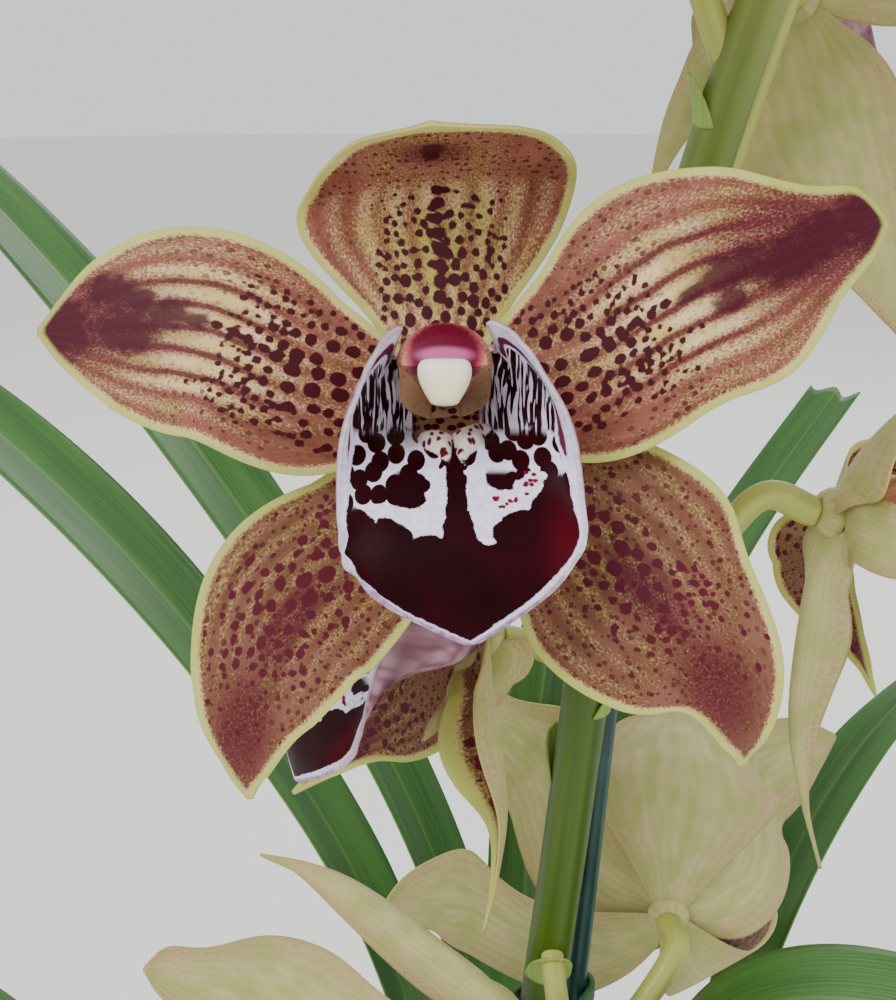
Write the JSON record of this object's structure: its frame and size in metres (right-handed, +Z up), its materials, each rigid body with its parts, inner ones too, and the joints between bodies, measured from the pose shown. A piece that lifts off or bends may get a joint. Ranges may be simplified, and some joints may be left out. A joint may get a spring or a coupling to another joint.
{
  "type": "potted orchid",
  "caption": "Potted cymbidium orchid with a staked arching spike of spotted blooms over strap leaves in a plain nursery pot",
  "frame": {"origin": "centre of the pot's underside, where it stands", "axes": "+Z up through the plant; the main bloom faces -Y"},
  "size_m": [0.7514, 0.6565, 0.7877],
  "materials": {
    "pot_plastic": "satin moulded, terracotta coloured",
    "bark": "rough chipped bark",
    "leaf": "smooth leathery leaf, stands in for plant tissue",
    "stem": "smooth waxy green stem, stands in for plant tissue",
    "coated_stake": "plastic-coated steel",
    "tie": "soft matt",
    "tepal": "waxy petal, cream green ground with maroon spots",
    "lip": "velvety dark maroon with white margin",
    "column": "waxy magenta and cream",
    "anther_cap": "waxy cream"
  },
  "bodies": {
    "root": {"pot": "pot_plastic", "bark": "bark", "growth_1": "leaf", "growth_2": "leaf", "growth_3": "leaf", "growth_4": "leaf", "growth_5": "leaf", "flower_spike": "stem", "stake": "coated_stake", "tie_low": "tie", "tie_high": "tie", "main_tepals": "tepal", "main_lip": "lip", "main_column": "column", "main_cap": "anther_cap", "left_low_tepals": "tepal", "left_low_lip": "lip", "left_low_column": "column", "left_low_cap": "anther_cap", "right_mid_tepals": "tepal", "right_mid_lip": "lip", "right_mid_column": "column", "right_mid_cap": "anther_cap", "right_high_tepals": "tepal", "right_high_lip": "lip", "right_high_column": "column", "right_high_cap": "anther_cap", "left_high_tepals": "tepal", "left_high_lip": "lip", "left_high_column": "column", "left_high_cap": "anther_cap", "back_low_tepals": "tepal", "back_low_lip": "lip", "back_low_column": "column", "back_low_cap": "anther_cap", "left_bottom_tepals": "tepal", "left_bottom_lip": "lip", "left_bottom_column": "column", "left_bottom_cap": "anther_cap", "top_right_tepals": "tepal", "top_right_lip": "lip", "top_right_column": "column", "top_right_cap": "anther_cap"}
  },
  "joints": []
}
